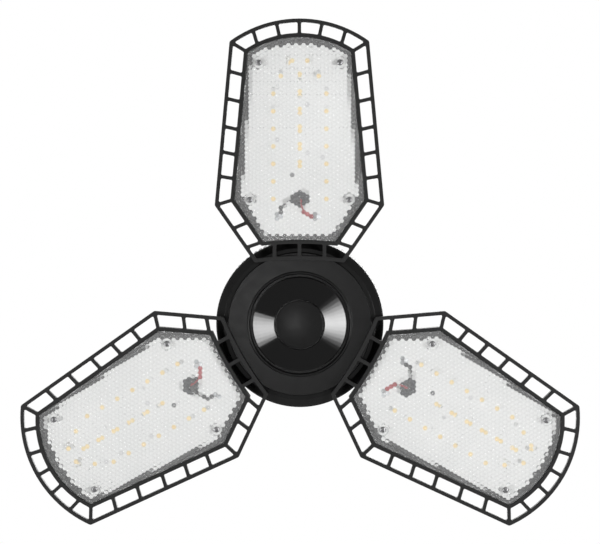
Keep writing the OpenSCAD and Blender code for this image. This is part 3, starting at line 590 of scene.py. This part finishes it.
def prism_field(outline):
    """The hexagons over an outline: corners, sides' middles, a ring inside each and its centre."""
    points, borders = [], []
    index = {}

    def add(p):
        key = (round(p.x * POINTS_PER_M), round(p.y * POINTS_PER_M))
        if key not in index:
            index[key] = len(points)
            points.append(p)
        return index[key]

    columns = math.ceil((max(p.x for p in outline) + HEX_CENTRE.x) / COLUMN) + 1
    rows = math.ceil((max(p.y for p in outline) - HEX_CENTRE.y) / HEX_PITCH) + 1
    for column in range(-columns, columns + 1):
        for row in range(-rows, rows + 1):
            centre = cell(column, row)
            corners = [centre + polar(CORNER_R, a) for a in range(0, 360, 60)]
            if not any(inside(p, outline) for p in (*corners, centre)):
                continue
            add(centre)
            for a in range(30, 390, 60):
                add(centre + polar(INNER_RING, a))
            for p, q in zip(corners, corners[1:] + corners[:1]):
                a, m, b = add(p), add((p + q) / 2), add(q)
                borders += [(a, m), (m, b)]
    return points, borders


def add_prisms(bm, outline, centres):
    """The cover's inner side: the prisms within its outline and outside its bosses."""
    points, borders = prism_field(outline)
    for line in [outline] + [circle(c, BOSS_R, BOSS_SIDES) for c in centres]:
        base = len(points)
        points += line
        borders += [(base + i, base + (i + 1) % len(line)) for i in range(len(line))]
    flat, _, faces, _, _, _ = delaunay_2d_cdt(points, borders, [], 0, MERGE)
    corner_depth = LENS_BACK - sag(CORNER_R)
    verts = [bm.verts.new((p.x, p.y, corner_depth + bump_height(p.x, p.y))) for p in flat]
    for face in faces:
        middle = middle_of([flat[i] for i in face])
        if inside(middle, outline) and all((middle - c).length > BOSS_R - BOSS_SLACK for c in centres):
            bm.faces.new([verts[i] for i in face])
    for vert in [v for v in bm.verts if not v.link_faces]:
        bm.verts.remove(vert)


def boss_walls(bm, chain, centre, head_r, lens_low):
    """A boss down to the board, its hole, and the recess for the screw's head."""
    boss = circle(centre, BOSS_R, BOSS_SIDES)
    flat = [v.co.to_2d() for v in chain]
    levels = [(BOSS_R, BOARD_FACE), (HOLE_R, BOARD_FACE), (HOLE_R, SCREW_SEAT), (head_r, SCREW_SEAT),
              (head_r, lens_low)]
    for radius, z in levels:
        ring = circle(centre, radius, BOSS_SIDES)
        chain = wall(bm, chain, [moved_with(p, boss, ring) for p in flat], z)
    return chain


def edge_walls(bm, chain, outline, lens_low):
    """The cover's side wall and the chamfer to its front."""
    rim = pulled_in(outline, LENS_CHAMFER)
    flat = [v.co.to_2d() for v in chain]
    chain = wall(bm, chain, flat, lens_low + LENS_CHAMFER)
    return wall(bm, chain, [moved_with(p, outline, rim) for p in flat], lens_low)


def close_front(bm, chains, centres, head_r):
    """The flat front between the rim and the screws' recesses."""
    points, edges, verts = [], [], []
    for chain in chains:
        base = len(points)
        edges += [(base + (i - 1) % len(chain), base + i) for i in range(len(chain))]
        points += [v.co.to_2d() for v in chain]
        verts += chain
    _, _, faces, origins, _, _ = delaunay_2d_cdt(points, edges, [], 1, MERGE)
    for face in faces:
        corners = [origins[i][0] for i in face]
        middle = middle_of([points[i] for i in corners])
        if all((middle - c).length > head_r for c in centres):
            bm.faces.new([verts[i] for i in corners])


def lens_mesh():
    """The clear cover: flat outside, a field of hexagonal prisms inside, four screw bosses."""
    lens_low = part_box("lens_a")[0].z - FRONT_Z
    outline, *heads = flat_loops("lens_a", PANELS["a"])
    centres = [middle_of(line) for line in heads]
    head_r = (heads[0][0] - centres[0]).length
    bm = bmesh.new()
    add_prisms(bm, outline, centres)
    for edge in bm.edges:
        middle = (edge.verts[0].co + edge.verts[1].co) / 2
        edge.smooth = not on_border(middle.x, middle.y)
    fronts = []
    for chain in edge_chains([e for e in bm.edges if len(e.link_faces) == 1]):
        middle = middle_of([v.co.to_2d() for v in chain])
        centre = min(centres, key=lambda c: (c - middle).length)
        if (chain[0].co.to_2d() - centre).length < BOSS_REACH:
            fronts.append(boss_walls(bm, chain, centre, head_r, lens_low))
        else:
            fronts.append(edge_walls(bm, chain, outline, lens_low))
    close_front(bm, fronts, centres, head_r)
    bmesh.ops.recalc_face_normals(bm, faces=bm.faces)
    for face in bm.faces:
        face.smooth = True
    for edge in bm.edges:
        if len(edge.link_faces) == 2 and edge.calc_face_angle() > COVER_CREASE:
            edge.smooth = False
    mesh = bpy.data.meshes.new("lens_prisms")
    bm.to_mesh(mesh)
    bm.free()
    return mesh


for lens in on_panels(lens_mesh(), "prism_lens", "lens_clear", replaced=["lens"]):
    # The board under the clear cover is lit as if it lay bare
    lens.visible_shadow = False
    lens.visible_diffuse = False


# -------------------------------------------------------------------- LEDs

LED_HALF_W = 1.4 * MM
LED_HALF_L = 1.75 * MM
LED_HEIGHT = 0.65 * MM
LED_RIM = 0.17 * MM
WINDOW_SUNK = 0.07 * MM
FOOT_HALF_W = 0.8 * LED_HALF_W
FOOT_LENGTH = 0.28 * MM
FOOT_HEIGHT = 0.22 * MM
FOOT_GAP = 0.02 * MM


def led_centres():
    """The LED packages' centres, read from the CAD node's separate boxes."""
    bm = bmesh.new()
    bm.from_mesh(NODES["leds_a"].data)
    bmesh.ops.remove_doubles(bm, verts=bm.verts, dist=NEAR)
    left = dict.fromkeys(bm.verts)
    inverse = PANELS["a"].inverted()
    centres = []
    while left:
        first, _ = left.popitem()
        group, queue = [], [first]
        while queue:
            v = queue.pop()
            group.append(v.co.copy())
            for e in v.link_edges:
                other = e.other_vert(v)
                if other in left:
                    del left[other]
                    queue.append(other)
        centres.append(inverse @ (sum(group, Vector()) / len(group)))
    bm.free()
    return sorted(centres, key=lambda c: (round(c.x, 5), round(c.y, 5)))


def led_ring(bm, centre, inset, z, cut):
    """A package's outline at one level, moved in by an inset, its corners cut off."""
    w, l = LED_HALF_W - inset, LED_HALF_L - inset
    corners = [(w - cut, l), (w, l - cut), (w, cut - l), (w - cut, -l),
               (cut - w, -l), (-w, cut - l), (-w, l - cut), (cut - w, l)]
    return [bm.verts.new((centre.x + x, centre.y + y, z)) for x, y in corners]


def add_led(bm, centre):
    """A top-view package: white body, recessed phosphor window, a soldered foot at each end."""
    top = BOARD_FACE - LED_HEIGHT
    rings = [
        led_ring(bm, centre, 0.0, BOARD_FACE, 0.1 * MM),
        led_ring(bm, centre, 0.0, BOARD_FACE - 0.35 * LED_HEIGHT, 0.1 * MM),
        led_ring(bm, centre, 0.06 * MM, top + 0.05 * MM, 0.14 * MM),
        led_ring(bm, centre, 0.09 * MM, top, 0.16 * MM),
        led_ring(bm, centre, LED_RIM, top, 0.35 * MM),
        led_ring(bm, centre, LED_RIM + 0.05 * MM, top + WINDOW_SUNK, 0.36 * MM),
    ]
    for ring, other in zip(rings, rings[1:]):
        for i in range(len(ring)):
            j = (i + 1) % len(ring)
            bm.faces.new((ring[i], ring[j], other[j], other[i]))
    bm.faces.new(rings[0][::-1])
    window = bm.faces.new(rings[-1])
    window.material_index = 1
    for side in (-1, 1):
        ends = sorted((side * (LED_HALF_L + FOOT_GAP), side * (LED_HALF_L + FOOT_LENGTH)))
        low = (centre.x - FOOT_HALF_W, centre.y + ends[0], BOARD_FACE - FOOT_HEIGHT)
        high = (centre.x + FOOT_HALF_W, centre.y + ends[1], BOARD_FACE)
        for face in block(bm, low, high, 0.05 * MM):
            face.material_index = 2


def led_mesh():
    """All of a panel's LED packages."""
    bm = bmesh.new()
    for centre in led_centres():
        add_led(bm, centre)
    return finished(bm, "led_packages", 30.0)


on_panels(led_mesh(), "led_packages", "led_phosphor",
          [LED_WHITE, LOOKS["led_phosphor"], DULL_TIN], ["leds"])


# ----------------------------------------------------- grommet, wires, pads

GROMMET = Vector((-0.6, 70.9)) * MM
GROMMET_R = 5.0 * MM
MOUTH_R = 1.56 * MM
FLANGE = 1.2 * MM
NECK_R = GROMMET_R - MM
NECK_END = 8.4 * MM
BOARD_GAP = 0.02 * MM

RED_PAD = Vector((-9.2, 61.0)) * MM
BLACK_PAD = Vector((11.6, 61.0)) * MM
PAD_HALF = Vector((2.0, 1.5)) * MM
PAD_T = 0.04 * MM
TEST_DOTS = ((-4.1, 97.2), (-4.1, 123.7), (12.8, 104.3), (13.2, 124.6), (13.0, 134.5), (-12.9, 94.0))

# The wires' routes in mm, from the grommet's mouth to the pads, in a panel's own frame
WIRE_R = 0.75 * MM
BARE_R = 0.4 * MM
BARE_DEPTH = BOARD_FACE - 0.35 * MM
RED_ROUTE = [(-1.0, 70.6, 5.1), (-1.0, 70.2, 3.8), (-1.1, 67.6, 3.5), (-1.7, 65.2, 3.9), (-3.4, 62.9, 4.7),
             (-6.4, 61.5, 5.0), (-7.6, 61.2, 5.0)]
BLACK_ROUTE = [(0.2, 71.2, 5.1), (0.9, 71.1, 3.9), (4.6, 70.3, 3.5), (7.6, 68.8, 4.1), (9.6, 66.8, 4.8),
               (10.5, 64.4, 5.0), (10.9, 62.7, 5.0)]


def grommet_mesh():
    """Black rubber grommet: a rolled flange, a funnelled mouth and the neck through the board."""
    bm = bmesh.new()
    top = BOARD_FACE - FLANGE
    under = BOARD_FACE - BOARD_GAP
    profile = [
        (MOUTH_R, top + 0.45 * MM), (2.1 * MM, top), (GROMMET_R - 0.5 * MM, top),
        (GROMMET_R, top + 0.5 * MM), (GROMMET_R, under),
        (NECK_R, under), (NECK_R, NECK_END), (MOUTH_R, NECK_END),
    ]
    lathe(bm, rounded(profile, 0.4 * MM), 64, GROMMET)
    return finished(bm, "grommet")


def wire(route, name, slot, pad, node):
    """An insulated wire from the grommet's mouth to its pad, its last stretch bare and tinned."""
    path = smooth_path([Vector(p) * MM for p in route])
    bm = bmesh.new()
    sweep(bm, path, WIRE_R)
    bare = [path[-2], path[-1], Vector((pad.x, pad.y, BARE_DEPTH))]
    for face in sweep(bm, smooth_path(bare, 4), BARE_R, 10):
        face.material_index = 1
    on_panels(finished(bm, name), name, slot, [LOOKS[slot], TINNED], [node])


def pads_mesh():
    """Tinned pads with solder blobs where the wires end, and a few dull test dots."""
    blob = [(0, -0.95), (0.5, -0.88), (0.95, -0.6), (1.25, -0.3), (1.6, -0.08), (1.75, 0.0), (0, 0.0)]
    dot = [(0, -0.04), (0.6, -0.04), (0.65, 0.0), (0, 0.0)]
    bm = bmesh.new()
    top = BOARD_FACE - PAD_T
    for pad in (RED_PAD, BLACK_PAD):
        low, high = pad - PAD_HALF, pad + PAD_HALF
        block(bm, (*low, top), (*high, BOARD_FACE), 0.01 * MM)
        lathe(bm, [(r * MM, top + z * MM) for r, z in blob], 28, pad)
    before = set(bm.faces)
    for place in TEST_DOTS:
        lathe(bm, [(r * MM, top + z * MM) for r, z in dot], 24, Vector(place) * MM)
    for face in set(bm.faces) - before:
        face.material_index = 1
    return finished(bm, "solder_pads")


on_panels(grommet_mesh(), "rubber_grommet", "grommet_rubber", replaced=["grommet"])
on_panels(pads_mesh(), "solder_pads", materials=[SOLDER, DULL_TIN])
wire(RED_ROUTE, "red_flex", "wire_red", RED_PAD, "red_wire")
wire(BLACK_ROUTE, "black_flex", "lead_sheath", BLACK_PAD, "black_wire")


# ------------------------------------------------------------------ screws

HEAD_R = 1.7 * MM
HEAD_H = 1.1 * MM
SHANK_R = 0.95 * MM
LENS_SCREW_L = 7.6 * MM
BOARD_SCREW_L = 4.8 * MM
BOARD_SCREW = Vector((4.2, 84.4)) * MM
RECESS_START = -HEAD_H - 0.2 * MM
RECESS_TAPER = 0.55
RECESS_TURN = 0.5
TURN_STEP = 0.7


def plain_screw(length):
    """A pan-head screw without its recess, the head's underside at height 0."""
    profile = [(0, -HEAD_H), (0.6 * HEAD_R, -0.97 * HEAD_H), (0.9 * HEAD_R, -0.72 * HEAD_H),
               (HEAD_R, -0.35 * HEAD_H), (HEAD_R, 0), (SHANK_R, 0), (SHANK_R, length - SHANK_R),
               (0.2 * SHANK_R, length), (0, length)]
    bm = bmesh.new()
    lathe(bm, profile, 40)
    return finished(bm, "screw", 35.0)


def recess():
    """A tapered cross that reaches into the head from just outside it."""
    arm, width, depth = 0.62 * HEAD_R, 0.15 * HEAD_R, 0.62 * HEAD_H
    bm = bmesh.new()
    for turn in (0, math.pi / 2):
        for v in bmesh.ops.create_cube(bm, size=2.0)["verts"]:
            outer = v.co.z < 0
            taper = 1.0 if outer else RECESS_TAPER
            z = RECESS_START if outer else -HEAD_H + depth
            corner = Vector((v.co.x * arm * taper, v.co.y * width * taper, z))
            v.co = Matrix.Rotation(turn + RECESS_TURN, 3, "Z") @ corner
    return finished(bm, "recess", None)


def cut_out(mesh, cutter):
    """A mesh with another taken out of it."""
    body = bpy.data.objects.new("body", mesh)
    tool = bpy.data.objects.new("tool", cutter)
    for piece in (body, tool):
        bpy.context.scene.collection.objects.link(piece)
    cut = body.modifiers.new("cut", "BOOLEAN")
    cut.operation = "DIFFERENCE"
    cut.solver = "EXACT"
    cut.object = tool
    cut.use_self = True
    bpy.context.view_layer.update()
    result = bpy.data.meshes.new_from_object(body.evaluated_get(bpy.context.evaluated_depsgraph_get()))
    bpy.data.objects.remove(body)
    bpy.data.objects.remove(tool)
    return result


def screw_mesh(places, seat, length, name):
    """Small screws with cross recesses, heads towards the front, each turned a little further."""
    screw = cut_out(plain_screw(length), recess())
    bm = bmesh.new()
    for i, place in enumerate(places):
        copy = screw.copy()
        turn = Matrix.Rotation(TURN_STEP * i, 4, "Z")
        copy.transform(Matrix.Translation((place.x, place.y, seat)) @ turn)
        bm.from_mesh(copy)
        bpy.data.meshes.remove(copy)
    return finished(bm, name, 35.0)


LENS_SCREWS = [middle_of(line) for line in flat_loops("lens_a", PANELS["a"])[1:]]
on_panels(screw_mesh(LENS_SCREWS, SCREW_SEAT, LENS_SCREW_L, "lens_screws"),
          "pan_screws", "screw_dark", replaced=["lens_screws"])
on_panels(screw_mesh([BOARD_SCREW], BOARD_FACE, BOARD_SCREW_L, "board_screw"),
          "board_pan_screw", "screw_dark", replaced=["board_screw"])


# ------------------------------------------------------- finishes of the rest

for part in frame["record"]["subparts"]:
    node = NODES[part["node"]]
    for holder in node.material_slots:
        holder.material = LOOKS[part["material_slot"]]


# ---------------------------------------------------------- camera and light

# The camera: the photo's width in pixels and its scale, the distance in metres, tilts and shifts
PHOTO_WIDTH = 600
PX_PER_MM = 1.775
DISTANCE = 1.1
TILT_X = math.radians(1.6)
TILT_Y = math.radians(-0.9)
SHIFT_X = 0.3 * MM
SHIFT_Y = 29.7 * MM
SENSOR_MM = 36.0

# The room, in metres: a floor well below the light, how white it shows, and the level all round
FLOOR_Z = -1.7
FLOOR_HALF = 8.0
FLOOR_GLOW = 0.36
WORLD_LEVEL = 0.14

# The two lamps that the cone mirrors: strips of a few degrees each, at a distance in metres
LAMP_DISTANCE = 1.25
LAMP_WIDTH = 0.11
LAMP_STEP = 5
CONE_SLOPE = math.radians(19.1)
CONE_MIDDLE = Vector((20.4, 1.9)) * MM

# Places of the small lamps in the photo's frame, and of the large one above the light
FRONT_LAMP = Vector((-62, -48, 1250)) * MM
VEIL_LAMP = Vector((11, 190, 1250)) * MM
VEIL_TARGET = Vector((11, 190, 0)) * MM
TOP_LAMP = Vector((0.3, 0.4, 1.5))


def to_part(v):
    """From the photo's frame (x right, y up, z towards the camera, from the hub's front) to the part's."""
    return Vector((v.x, -v.y, FRONT_Z - v.z))


def direction_to_part(v):
    """A direction from the photo's frame to the part's."""
    return to_part(v) - to_part(Vector((0, 0, 0)))


def add_camera():
    """The camera in front of the light, at the photo's viewing angle and scale."""
    tilt = Matrix.Rotation(TILT_Y, 3, "Y") @ Matrix.Rotation(TILT_X, 3, "X")
    back = tilt.transposed()
    place = to_part(back @ Vector((SHIFT_X, SHIFT_Y, DISTANCE)))
    right = direction_to_part(back @ Vector((1, 0, 0)))
    up = direction_to_part(back @ Vector((0, 1, 0)))
    data = bpy.data.cameras.new("camera")
    data.sensor_width = SENSOR_MM
    data.lens = SENSOR_MM * DISTANCE / MM * PX_PER_MM / PHOTO_WIDTH
    data.clip_start = 0.01
    data.clip_end = 50.0
    camera = bpy.data.objects.new("camera", data)
    turn = Matrix((right, up, right.cross(up))).transposed()
    camera.matrix_world = Matrix.Translation(place) @ turn.to_4x4()
    bpy.context.scene.collection.objects.link(camera)
    bpy.context.scene.camera = camera


def add_softbox(name, place, target, width, height, radiance):
    """A soft rectangular lamp that isn't seen itself."""
    data = bpy.data.lights.new(name, "AREA")
    data.shape = "RECTANGLE"
    data.size = width
    data.size_y = height
    data.energy = radiance * math.pi * width * height
    lamp = bpy.data.objects.new(name, data)
    lamp.location = place
    lamp.rotation_euler = (Vector(target) - Vector(place)).to_track_quat("-Z", "X").to_euler()
    lamp.visible_camera = False
    bpy.context.scene.collection.objects.link(lamp)


def mirrored(angle):
    """The middle of the cone's flank at an angle in the photo's frame, and where it mirrors the camera to."""
    across = Vector((math.cos(angle), math.sin(angle), 0))
    spot = to_part(across * CONE_MIDDLE.x - Vector((0, 0, CONE_MIDDLE.y)))
    normal = direction_to_part(across * math.sin(CONE_SLOPE) + Vector((0, 0, math.cos(CONE_SLOPE))))
    sight = (spot - bpy.context.scene.camera.location).normalized()
    return spot, sight - 2 * sight.dot(normal) * normal


def add_curved_softbox(name, middle, half_width, falloff, peak):
    """A soft lamp bent round the hub in strips; it fades to both sides over half_width degrees."""
    half_strip = math.radians(LAMP_STEP) / 2
    strips = half_width // LAMP_STEP
    for i in range(-strips, strips + 1):
        angle = math.radians(middle + i * LAMP_STEP)
        spot, way = mirrored(angle)
        height = LAMP_DISTANCE * (mirrored(angle + half_strip)[1] - mirrored(angle - half_strip)[1]).length
        fade = math.cos(math.pi / 2 * i * LAMP_STEP / half_width) ** falloff
        place = spot + LAMP_DISTANCE * way
        add_softbox(f"{name}_{i + strips}", place, spot, LAMP_WIDTH, height, peak * fade)


def seen_rays(nodes, links):
    """1 for the rays in which the background shows: from the camera, mirrored or through glass."""
    rays = nodes.new("ShaderNodeLightPath")
    seen = rays.outputs["Is Camera Ray"]
    for ray in ("Is Glossy Ray", "Is Transmission Ray"):
        join = nodes.new("ShaderNodeMath")
        join.operation = "MAXIMUM"
        links.new(seen, join.inputs[0])
        links.new(rays.outputs[ray], join.inputs[1])
        seen = join.outputs[0]
    return seen


def add_floor():
    """A plain pale floor well below the light."""
    bm = bmesh.new()
    bmesh.ops.create_grid(bm, x_segments=1, y_segments=1, size=FLOOR_HALF)
    mesh = bpy.data.meshes.new("floor")
    bm.to_mesh(mesh)
    bm.free()
    floor = bpy.data.objects.new("floor", mesh)
    floor.location.z = FLOOR_Z
    finish = Finish("floor", grey(0.8), 0.9, specular=0.2)
    finish.vary_colour(finish.noise(400.0), grey(0.79), grey(0.81))
    finish.set("Emission Color", (1, 1, 1, 1))
    glow = finish.ramp(seen_rays(finish.nodes, finish.links), 0.0, FLOOR_GLOW, 0.0, 1.0)
    finish.links.new(glow, finish.surface.inputs["Emission Strength"])
    mesh.materials.append(finish.material)
    bpy.context.scene.collection.objects.link(floor)


def add_world(level):
    """Plain light at a level of its own, and a white background for what is seen."""
    world = bpy.data.worlds.new("studio")
    bpy.context.scene.world = world
    world.use_nodes = True
    nodes, links = world.node_tree.nodes, world.node_tree.links
    strength = nodes.new("ShaderNodeMapRange")
    strength.inputs["To Min"].default_value = level
    strength.inputs["To Max"].default_value = 1.0
    links.new(seen_rays(nodes, links), strength.inputs["Value"])
    background = nodes["Background"]
    background.inputs["Color"].default_value = (1, 1, 1, 1)
    links.new(strength.outputs["Result"], background.inputs["Strength"])


add_camera()
add_floor()
add_world(WORLD_LEVEL)
add_curved_softbox("key_right", middle=3, half_width=38, falloff=2.0, peak=43.0)
add_curved_softbox("key_left", middle=187, half_width=22, falloff=0.6, peak=34.0)
add_softbox("front", to_part(FRONT_LAMP), (0, 0, FRONT_Z), width=0.08, height=0.09, radiance=15.0)
add_softbox("veil", to_part(VEIL_LAMP), to_part(VEIL_TARGET), width=0.1, height=0.11, radiance=1.0)
add_softbox("top", TOP_LAMP, (0, 0, 0), width=1.6, height=1.6, radiance=3.5)

bpy.context.scene.view_settings.view_transform = "Standard"
